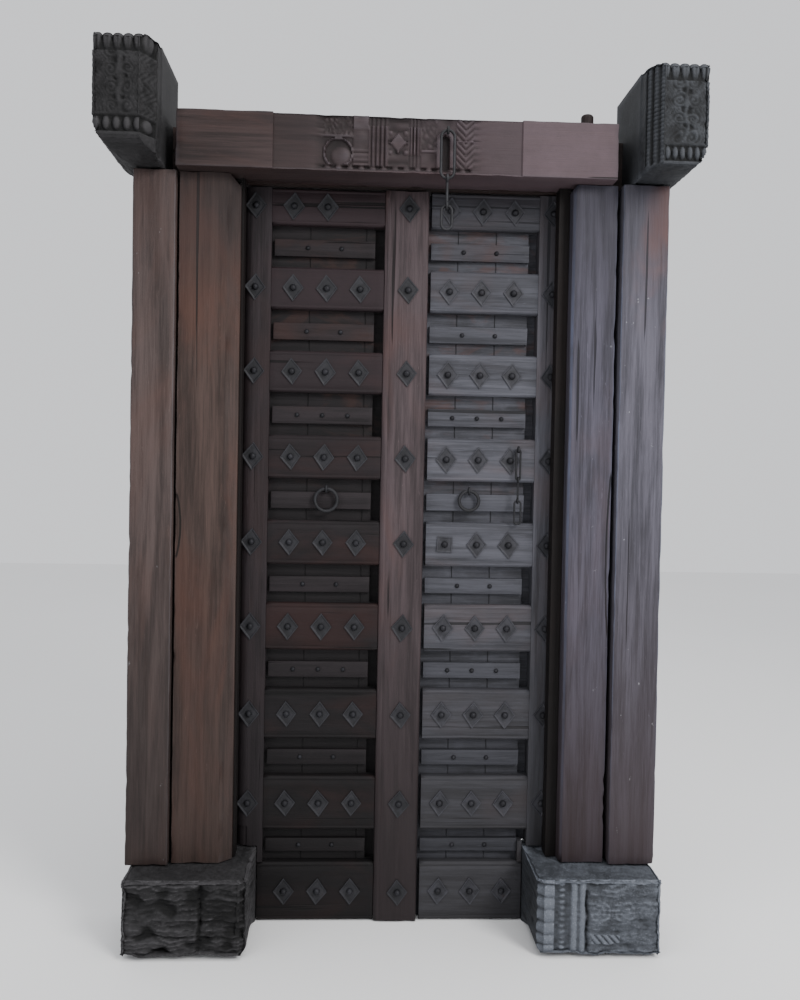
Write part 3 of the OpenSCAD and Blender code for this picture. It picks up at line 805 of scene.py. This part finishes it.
def bracket_carving(side, low, high, cut):
    """Carving of a bracket: petals over packed scrolls, a row of ovals, and a beaded canted corner."""
    rise, oval_pitch = BRACKET_MARKS[side]
    foot = low.z + rise
    outward = -1 if side == "left" else 1
    shift = Vector((2.2, 7.4, 1.3)) if side == "left" else Vector((6.1, 0.8, 4.9))

    def depth(p, n):
        rough = 0.5 + 0.5 * noise.fractal(p * 42 + shift, 0.7, 2.1, 4)
        w = p.z - foot
        if n.z > 0.6 and p.y < low.y + 30 * MM:
            boss = dome(row_of(p.x - low.x, 24 * MM), 0, 12 * MM, 1)
            return cut * (0.9 * (1 - boss) + 0.3 * rough), boss
        if side == "right" and -0.8 < n.y < -0.3 and n.x * outward < 0 and w > 6 * MM:
            ridge = dome(row_of(p.y - low.y, 18.3 * MM), 0, 7.5 * MM, 1)
            bead = 0.55 + 0.45 * flute(p.z, 10 * MM)
            height = ridge * bead * (0.7 + 0.3 * rough)
            return cut * 1.2 * (1 - height), height
        if n.y < -0.5 or n.x * outward > 0.5:
            u = p.x - low.x if n.y < -0.5 else p.y - low.y
            u_mid = 0.44 * (high.x - low.x) if side == "left" else 0.60 * (high.x - low.x)
            if w < 10 * MM:
                return cut * 0.4 * rough, 0.45
            if w < 46 * MM:
                boss = dome(row_of(u, oval_pitch), w - 28 * MM, 0.40 * oval_pitch, 17 * MM)
                return cut * (1.1 * (1 - boss) + 0.2 * rough), boss
            if w < 54 * MM:
                return cut * (0.4 + 0.4 * rough), 0.3
            from_top = high.z - p.z
            if from_top < 46 * MM:
                boss = dome(row_of(u, 24 * MM), from_top - 8 * MM, 11 * MM, 38 * MM)
                vein = 1 - 0.5 * dome(row_of(u, 24 * MM), 0, 2.5 * MM, 1)
                return cut * (1.1 * (1 - boss * vein) + 0.2 * rough), boss * vein
            height, hole = scrollwork(u, w, u_mid, rough, shift)
            # Painted shade, darker where the carving is cut deep and in the drilled holes.
            dark = min(1.0, max(0.0, 0.95 - 1.3 * height) + hole)
            return cut * (0.9 * (1 - height) + 0.30 * rough + 0.6 * hole), max(0.0, 0.7 * height - hole), dark
        return cut * (0.15 + 0.45 * rough * rough), 0.15 + 0.3 * rough

    return depth


class DOOR_OT_brackets(bpy.types.Operator):
    """Carves the two brackets on top of the outer posts"""

    bl_idname = "door.brackets"
    bl_label = "Brackets"

    def execute(self, context):
        for number, side in enumerate(SIDES):
            node = f"bracket_{side}"
            low, high = corners(node)
            inner = high.x if side == "left" else low.x
            bm = copy_of(node)
            ease(bm, sizes().edge_ease * 2)
            slice_at(bm, Z, steps(low.z, high.z, sizes().carving_cell))
            slice_at(bm, X, steps(low.x, high.x, sizes().carving_cell))
            slice_at(bm, Y, steps(low.y, high.y, 1.6 * sizes().carving_cell))
            carving = bracket_carving(side, low, high, sizes().bracket_cut)
            roughen(
                bm, low, high, Z, 1.5 * MM, 30 + number, carving, chips=4.0, reach=12 * MM, blunt=3 * MM,
                spare=lambda p: 0.1 if abs(p.x - inner) < 8 * MM and p.y > low.y + 90 * MM else 1.0,
            )
            base = getattr(colours(), side + "_carving")
            finish_piece(
                bm, f"carved_{node}", "frame", carved(node + "_wood", shade(base, 0.62), shade(base, 1.7)),
                (node,),
            )
        return {"FINISHED"}


def panel_height(u, w, tall):
    """Height, 0 to 1, of the carved panel of the lintel at u along it and w above its foot."""
    row = w / tall
    if row < 0.12:
        return 0.75 * dome(row_of(u, 28 * MM), w - 8 * MM, 11 * MM, 8 * MM)
    if u < 76 * MM:
        if row > 0.62:
            edge = dome(w - 0.64 * tall, 0, 3 * MM, 1)
            return max(edge, 0.35 + 0.6 * foliage(u, w, 95, 2.0))
        ring = math.hypot(u - 40 * MM, w - 46 * MM)
        if ring < 38 * MM:
            return 0.95 if ring > 33 * MM else 0.30 + 0.55 * dome(u - 48 * MM, w - 38 * MM, 26 * MM, 24 * MM)
        return 0.45
    if u < 116 * MM:
        if row > 0.76:
            return 0.95
        return 0.7 if row > 0.45 else 0.5 + 0.35 * flute(w, 12 * MM)
    if u < 164 * MM:
        return 0.25 + 0.7 * flute(u, 11 * MM) * (1 if row < 0.85 else 0.4)
    if u < 214 * MM:
        across, up = (u - 189 * MM) / (19 * MM), (row - 0.55) / 0.16
        square = abs(across) ** 0.7 + abs(up) ** 0.7
        if square < 1.25:
            return 1.0
        corner = dome(abs(across) - 1, abs(up) - 1.1, 0.4, 0.35)
        return max(0.25 + 0.3 * flute(w, 26 * MM), corner)
    if u < 246 * MM:
        return 0.25 + 0.7 * flute(u, 9 * MM) * (1 if 0.35 < row < 0.85 else 0.4)
    if u < 284 * MM:
        if abs(row - 0.42) < 0.025:
            return 1.0
        return 0.4 + 0.4 * foliage(u, w, 80, 6.0) if row > 0.45 else 0.55
    if u < 332 * MM:
        arch = math.hypot(u - 306 * MM, max(0.0, w - 0.62 * tall))
        if arch < 12 * MM:
            return 0.0
        return 1.0 if arch < 22 * MM else 0.5
    edge = dome(w - 0.60 * tall, 0, 3.5 * MM, 1)
    vee = 0.35 + 0.5 * flute(w - abs(u - 357 * MM), 16 * MM)
    return max(edge, vee)


def carved_part(low):
    """Where the carved panel of the lintel starts and ends."""
    return low.x + 355 * MM, low.x + 735 * MM


def lintel_carving(low, high, marks, start, end):
    """The sunk middle of the lintel between two marks, and its carved panel from start to end."""
    cut = sizes().panel_cut
    step = 4 * MM

    def depth(p, n):
        middle = marks[0] < p.x < marks[1]
        if n.z > 0.5:
            return (step if middle else 0.0), 0.2
        if n.y > -0.5:
            return 0.0, 0.0
        if start < p.x < end:
            height = panel_height(p.x - start, p.z - low.z, high.z - low.z - step)
            rub = 0.75 + 0.25 * noise.noise(p * 40)
            # The third value is painted shade, darker where the panel is cut deep.
            return cut * (1 - height * rub), height * rub, max(0.0, 1.3 - 1.7 * height * rub)
        if not middle:
            return 0.0, 0.15
        return step, 0.1

    return depth


class DOOR_OT_lintel(bpy.types.Operator):
    """Weathers the lintel and carves its middle panel"""

    bl_idname = "door.lintel"
    bl_label = "Lintel"

    def execute(self, context):
        low, high = corners("front_lintel")
        start, end = carved_part(low)
        marks = (low.x + 234 * MM, high.x - 242 * MM)
        low.x, high.x = low.x - 4 * MM, high.x + 4 * MM
        bm = block(low, high)
        ease(bm, sizes().edge_ease)
        slice_at(bm, Z, steps(low.z, high.z, sizes().carving_cell))
        slice_at(bm, Y, steps(low.y, high.y, 30 * MM))
        cell = sizes().carving_cell
        slice_at(bm, X, steps(low.x, start, 6 * cell))
        slice_at(bm, X, [marks[0] - 0.5 * MM, marks[0] + MM, marks[1], marks[1] - 1.5 * MM])
        slice_at(bm, X, steps(start - MM, end + MM, 0.8 * cell))
        slice_at(bm, X, steps(end, high.x, 6 * cell))
        roughen(bm, low, high, X, sizes().post_wear, 41, lintel_carving(low, high, marks, start, end))
        base = colours().lintel_wood
        finish_piece(
            bm, "carved_front_lintel", "frame",
            plain_timber(
                "lintel_timber", base, axis=X, warmth=0.6, foot=0.0, relief=0.8,
                pale=(X, -0.50, 0.50, tinted(base, 2.9, 3.2, 3.9)), rubbed_tint=(1.0, 1.45, 1.8),
            ),
            ("front_lintel",),
        )
        return {"FINISHED"}


# ---------------------------------------------------------------- leaves


def leaf_timber(side, axis, name, base=None, **marks):
    base = base or getattr(colours(), side + "_wood")
    ends = dict(foot=0.6, head=0.0)
    # The right leaf gets painted shade at its head, under the lintel.
    if side == "right":
        ends = dict(foot=0.7, head=0.55, foot_tint=(1.1, 1.0, 0.85))
    warm = warmer(base)
    if side == "left" and axis == X:
        ends.update(pale=(Z, 0.9, 1.9, tinted(base, 3.0, 2.4, 2.5)), warmth=0.6)
        warm = tinted(base, 3.6, 1.7, 1.3)
    return timber(name, axis, base, warm, **{**ends, **marks})


def rail_mouldings(low, high):
    """A fine line worked along the top and the bottom of a rail."""

    def depth(p, n):
        if n.y > -0.5:
            return 0.0, 0.0
        from_edge = min(p.z - low.z, high.z - p.z)
        line = max(0.0, 1 - abs(from_edge - 11 * MM) / (2 * MM))
        return 1.4 * MM * line, 0.12 * max(0.0, 1 - from_edge / (9 * MM))

    return depth


class DOOR_OT_rails(bpy.types.Operator):
    """Shapes the rails of both leaves, with eased edges and a fine line along each"""

    bl_idname = "door.rails"
    bl_label = "Rails"

    def execute(self, context):
        for number, side in enumerate(SIDES):
            material = leaf_timber(side, X, side + "_rail_timber")
            for row in range(1, RAILS + 1):
                node = f"{side}_rail_{row}"
                low, high = corners(node)
                bm = copy_of(node)
                ease(bm, 1.6 * MM)
                slice_at(bm, X, steps(low.x, high.x, 18 * MM))
                lines = [low.z + mm * MM for mm in (9, 11, 13)] + [high.z - mm * MM for mm in (9, 11, 13)]
                slice_at(bm, Z, lines + steps(low.z + 13 * MM, high.z - 13 * MM, 16 * MM))
                roughen(
                    bm, low, high, X, sizes().rail_wear, 50 + 10 * number + row, rail_mouldings(low, high),
                    reach=4 * MM, rubbed=0.14,
                    spare=lambda p: 0.15 if min(p.x - low.x, high.x - p.x) < 5 * MM else 1.0,
                )
                finish_piece(bm, f"worn_{node}", f"{side}_leaf", material, (node,))
        return {"FINISHED"}


class DOOR_OT_stiles(bpy.types.Operator):
    """Shapes the meeting stile and the right foot strip, and finishes the outer stiles and back boards"""

    bl_idname = "door.stiles"
    bl_label = "Stiles and boards"

    def execute(self, context):
        low, high = corners("meeting_stile")
        bm = copy_of("meeting_stile")
        ease(bm, 2 * MM)
        slice_at(bm, Z, steps(low.z, high.z, 22 * MM))
        slice_at(bm, X, [low.x + mm * MM for mm in (14, 16, 18)] + steps(low.x + 20 * MM, high.x, 14 * MM))

        def depth(p, n):
            line = max(0.0, 1 - abs(p.x - low.x - 16 * MM) / (2 * MM)) if n.y < -0.5 else 0.0
            return 1.6 * MM * line, 0.15

        roughen(
            bm, low, high, Z, sizes().rail_wear, 77, depth, rubbed=0.3,
            spare=lambda p: 0.1 if high.x - p.x < 8 * MM else 1.0,
        )
        material = leaf_timber("left", Z, "meeting_timber", colours().left_meeting, warmth=0.6, foot=0.88)
        finish_piece(bm, "worn_meeting_stile", "left_leaf", material, ("meeting_stile",))
        self.foot_strip()
        for side in SIDES:
            base = getattr(colours(), side + "_wood")
            stile = shade(base, 2.9 if side == "left" else 1.0)
            dress(f"{side}_outer_stile", leaf_timber(side, Z, side + "_stile_timber", stile))
            start, end = (corner.x for corner in corners(f"{side}_boards"))
            joints = [start + (end - start) * share for share in (0.27, 0.62)]
            warm = shade(colours().salmon, 0.45 if side == "left" else 0.8)
            tone = shade(base, 1.2 if side == "left" else 0.9)
            dress(f"{side}_boards", planks(side + "_board_planks", tone, warm, 0.35, joints))
        return {"FINISHED"}

    def foot_strip(self):
        """The narrow upright of the right leaf beside its base block, over the bottom rail."""
        rail_low, rail_high = corners("right_rail_1")
        low = Vector((rail_high.x - 12 * MM, rail_low.y + 2 * MM, rail_high.z))
        high = Vector((rail_high.x, rail_high.y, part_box("base_block_right")[1][2] + 16 * MM))
        bm = block(low, high)
        ease(bm, MM)
        paint_layers(bm)
        material = leaf_timber("right", Z, "foot_strip_timber")
        finish_piece(bm, "right_foot_strip", "right_leaf", material)


class DOOR_OT_battens(bpy.types.Operator):
    """Shapes the middle battens of the recesses, with a rubbed lower edge"""

    bl_idname = "door.battens"
    bl_label = "Battens"

    def execute(self, context):
        for number, side in enumerate(SIDES):
            node = f"{side}_battens"
            low, high = corners(node)
            bm = copy_of(node)
            ease(bm, 1.8 * MM)
            slice_at(bm, X, steps(low.x, high.x, 20 * MM))
            roughen(bm, low, high, X, sizes().rail_wear, 90 + number)
            base = getattr(colours(), side + "_wood")
            warm = shade(colours().salmon, 0.40 if side == "left" else 0.7)
            # The right battens get painted shade at their head, under the lintel.
            material = timber(
                side + "_batten_timber", X, shade(base, 1.9 if side == "left" else 0.85), warm, 0.45,
                warm_above=1.35, foot=0.6, head=0.3 if side == "right" else 0.0,
            )
            finish_piece(bm, f"worn_{node}", f"{side}_leaf", material, (node,))
        return {"FINISHED"}


# ---------------------------------------------------------------- iron


def plate_places(node):
    """The low and high corners of each plate of a rosette node, found from its separate solids."""
    bm = copy_of(node)
    places = []
    seen = set()
    for start in bm.verts:
        if start.index in seen:
            continue
        island, queue = [], [start]
        seen.add(start.index)
        while queue:
            v = queue.pop()
            island.append(v.co.copy())
            for e in v.link_edges:
                other = e.other_vert(v)
                if other.index not in seen:
                    seen.add(other.index)
                    queue.append(other)
        low = Vector(min(c[k] for c in island) for k in range(3))
        high = Vector(max(c[k] for c in island) for k in range(3))
        places.append((low, high))
    bm.free()
    return sorted(places, key=lambda pair: (round(pair[0].z, 3), pair[0].x))


def add_plate(bm, low, high, rim, rng, square):
    """A rosette plate: a diamond with a raised rim and a sunk field round its stud."""
    middle = (low + high) / 2
    half_w, half_h = (high.x - low.x) / 2, (high.z - low.z) / 2
    thick = high.y - low.y
    lean = rng.uniform(-4, 4)
    grow = rng.uniform(0.93, 1.0)
    turn = Matrix.Rotation(math.radians(45 + lean if square else lean), 4, "Y")
    flat = Matrix.Diagonal((half_w * grow, 1, half_h * grow, 1))
    if square:
        flat = Matrix.Diagonal((half_w, 1, half_w, 1))
    made = bmesh.ops.create_circle(
        bm, cap_ends=True, segments=4, radius=1,
        matrix=Matrix.Translation((middle.x, high.y - 0.1 * MM, middle.z)) @ turn @ flat
        @ Matrix.Rotation(math.radians(90), 4, "X"),
    )
    face = made["verts"][0].link_faces[0]
    raised = bmesh.ops.extrude_face_region(bm, geom=[face])
    top = [g for g in raised["geom"] if isinstance(g, bmesh.types.BMFace)][0]
    bmesh.ops.translate(bm, verts=top.verts[:], vec=(0, -thick * 0.9, 0))
    wear = bm.verts.layers.float["wear"]
    for v in top.verts:
        v[wear] = 0.55
    bmesh.ops.inset_region(bm, faces=[top], thickness=rim * 0.35, depth=0.0, use_even_offset=True)
    for v in top.verts:
        v[wear] = 0.75
    bmesh.ops.inset_region(bm, faces=[top], thickness=rim * 0.65, depth=0.0, use_even_offset=True)
    bmesh.ops.translate(bm, verts=top.verts[:], vec=(0, thick * 0.45, 0))
    for v in top.verts:
        v[wear] = 0.0


# The right leaf's one square plate: its row, counted up from 0, and how near the middle it sits
SQUARE_ROW = 4
SQUARE_WITHIN = 0.15


class DOOR_OT_rosettes(bpy.types.Operator):
    """Forges the rosette plates, each a little different, and finishes the studs and nails"""

    bl_idname = "door.rosettes"
    bl_label = "Rosettes and studs"

    def execute(self, context):
        rng = random.Random(11)
        iron = colours().iron
        plate_irons = {}
        # The left plates are darker than the right ones, partly as painted shade like the rest of the left
        # side.
        plate_shades = (("left", 0.8, 2.4, (2.0, 1.3, 1.0)), ("right", 1.5, 4.2, (2.6, 1.5, 1.0)))
        for side, dark, edge, rust in plate_shades:
            plate_irons[side] = forged(
                side + "_plate_iron", shade(iron, dark), shade(iron, edge), tinted(iron, *rust), 0.2
            )
        stud_iron = forged("stud_iron", iron, shade(iron, 3.0), tinted(iron, 2.4, 1.4, 1.0), 0.5)
        for side in SIDES:
            node = f"{side}_rosettes"
            bm = bmesh.new()
            paint_layers(bm)
            places = plate_places(node)
            rows = sorted({round(low.z, 3) for low, high in places})
            for low, high in places:
                square = side == "right" and abs(low.z - rows[SQUARE_ROW]) < MM and low.x < SQUARE_WITHIN
                add_plate(bm, low, high, sizes().rosette_rim, rng, square)
            finish_piece(
                bm, f"forged_{node}", f"{side}_leaf", plate_irons[side], (node,), smooth=False
            )
            dress(f"{side}_studs", stud_iron)
            dress(f"{side}_batten_nails", stud_iron)
        return {"FINISHED"}


class DOOR_OT_ironwork(bpy.types.Operator):
    """Finishes the ring pulls, the staples, the chain and the hasp"""

    bl_idname = "door.ironwork"
    bl_label = "Rings, chain and hasp"

    def execute(self, context):
        iron = colours().iron
        bar = forged("bar_iron", shade(iron, 0.7), shade(iron, 2.4), tinted(iron, 1.8, 1.3, 1.1), 0.15)
        names = ["left_ring", "right_ring", "left_ring_staple", "right_ring_staple", "hasp_staple"]
        names += ["chain_staple"] + [f"{kind}_link_{k}" for kind in ("hasp", "chain") for k in (1, 2, 3)]
        for name in names:
            dress(name, bar)
        return {"FINISHED"}


# ---------------------------------------------------------------- stage


def area_light(name, place, target, size, power, tint=(1, 1, 1)):
    light = bpy.data.lights.new(name, "AREA")
    light.shape = "RECTANGLE"
    light.size, light.size_y = size
    light.energy = power
    light.color = tint
    lamp = bpy.data.objects.new(name, light)
    lamp.location = place
    lamp.rotation_euler = (Vector(target) - Vector(place)).to_track_quat("-Z", "Y").to_euler()
    bpy.context.scene.collection.objects.link(lamp)


class DOOR_OT_stage(bpy.types.Operator):
    """Sets the camera, the pale floor and the soft studio light"""

    bl_idname = "door.stage"
    bl_label = "Stage"

    def execute(self, context):
        self.camera()
        bm = bmesh.new()
        under = Matrix.Translation((0, 0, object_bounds()[0][2]))
        bmesh.ops.create_grid(bm, x_segments=8, y_segments=8, size=9, matrix=under)
        mesh = bpy.data.meshes.new("studio_floor")
        bm.to_mesh(mesh)
        bm.free()
        floor = bpy.data.objects.new("studio_floor", mesh)
        context.scene.collection.objects.link(floor)
        f = Finish("studio_floor_paint")
        tone = f.noise(f.stretched((0.7, 0.7, 0.7)), detail=2)
        pale = colours().floor
        paint = f.mix(tone, rgba(shade(pale, 0.98)), rgba(shade(pale, 1.02)))
        mesh.materials.append(f.finish(0.3, Base_Color=paint, Roughness=0.9))
        floor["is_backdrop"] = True
        area_light("key_light", (2.6, -3.4, 3.4), (0, 0, 1.1), (1.6, 1.6), 200, (1.0, 0.99, 0.98))
        area_light("fill_light", (-3.2, -3.2, 2.2), (0, 0, 1.0), (2.4, 2.4), 30, (0.95, 0.97, 1.0))
        area_light("top_light", (0.2, -1.2, 4.6), (0, 0, 1.6), (3.0, 2.0), 50)
        world = bpy.data.worlds.new("studio_world")
        world.use_nodes = True
        background = world.node_tree.nodes["Background"]
        background.inputs[0].default_value = (0.96, 0.97, 1.0, 1.0)
        background.inputs[1].default_value = 1.0
        context.scene.world = world
        return {"FINISHED"}

    def camera(self):
        data = bpy.data.cameras.new("door_camera")
        data.lens = sizes().focal / MM
        data.sensor_width = 36.0
        data.shift_x = 0.0005
        data.shift_y = -0.0119
        data.clip_end = 60.0
        eye = bpy.data.objects.new("door_camera", data)
        bpy.context.scene.collection.objects.link(eye)
        yaw, pitch, roll = (math.radians(angle) for angle in (2.819, -1.316, 1.08))
        ahead = Vector((math.sin(yaw) * math.cos(pitch), math.cos(yaw) * math.cos(pitch), math.sin(pitch)))
        right = Vector((math.cos(yaw), -math.sin(yaw), 0))
        up = right.cross(ahead)
        tilted_right = right * math.cos(roll) + up * math.sin(roll)
        tilted_up = up * math.cos(roll) - right * math.sin(roll)
        turn = Matrix((tilted_right, tilted_up, -ahead)).transposed()
        eye.matrix_world = Matrix.Translation((-0.1102, -2.45, 1.2205)) @ turn.to_4x4()
        bpy.context.scene.camera = eye


class DOOR_PT_panel(bpy.types.Panel):
    """Lists the pieces of the door and their settings"""

    bl_label = "Carved temple door"
    bl_idname = "DOOR_PT_panel"
    bl_space_type = "VIEW_3D"
    bl_region_type = "UI"
    bl_category = "Door"

    def draw(self, context):
        layout = self.layout
        for group in (context.scene.door_sizes, context.scene.door_colours):
            box = layout.box()
            for name in group.__annotations__:
                box.prop(group, name)
        for piece in PIECES:
            layout.operator(piece.bl_idname)


PIECES = (
    DOOR_OT_posts,
    DOOR_OT_hidden,
    DOOR_OT_base_blocks,
    DOOR_OT_brackets,
    DOOR_OT_lintel,
    DOOR_OT_rails,
    DOOR_OT_stiles,
    DOOR_OT_battens,
    DOOR_OT_rosettes,
    DOOR_OT_ironwork,
    DOOR_OT_stage,
)
CLASSES = (DoorSizes, DoorColours, *PIECES, DOOR_PT_panel)


def register():
    for cls in CLASSES:
        bpy.utils.register_class(cls)
    bpy.types.Scene.door_sizes = bpy.props.PointerProperty(type=DoorSizes)
    bpy.types.Scene.door_colours = bpy.props.PointerProperty(type=DoorColours)


def unregister():
    del bpy.types.Scene.door_colours
    del bpy.types.Scene.door_sizes
    for cls in reversed(CLASSES):
        bpy.utils.unregister_class(cls)


def main():
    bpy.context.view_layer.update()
    register()
    for piece in PIECES:
        family, name = piece.bl_idname.split(".")
        getattr(getattr(bpy.ops, family), name)()


if __name__ == "__main__":
    main()
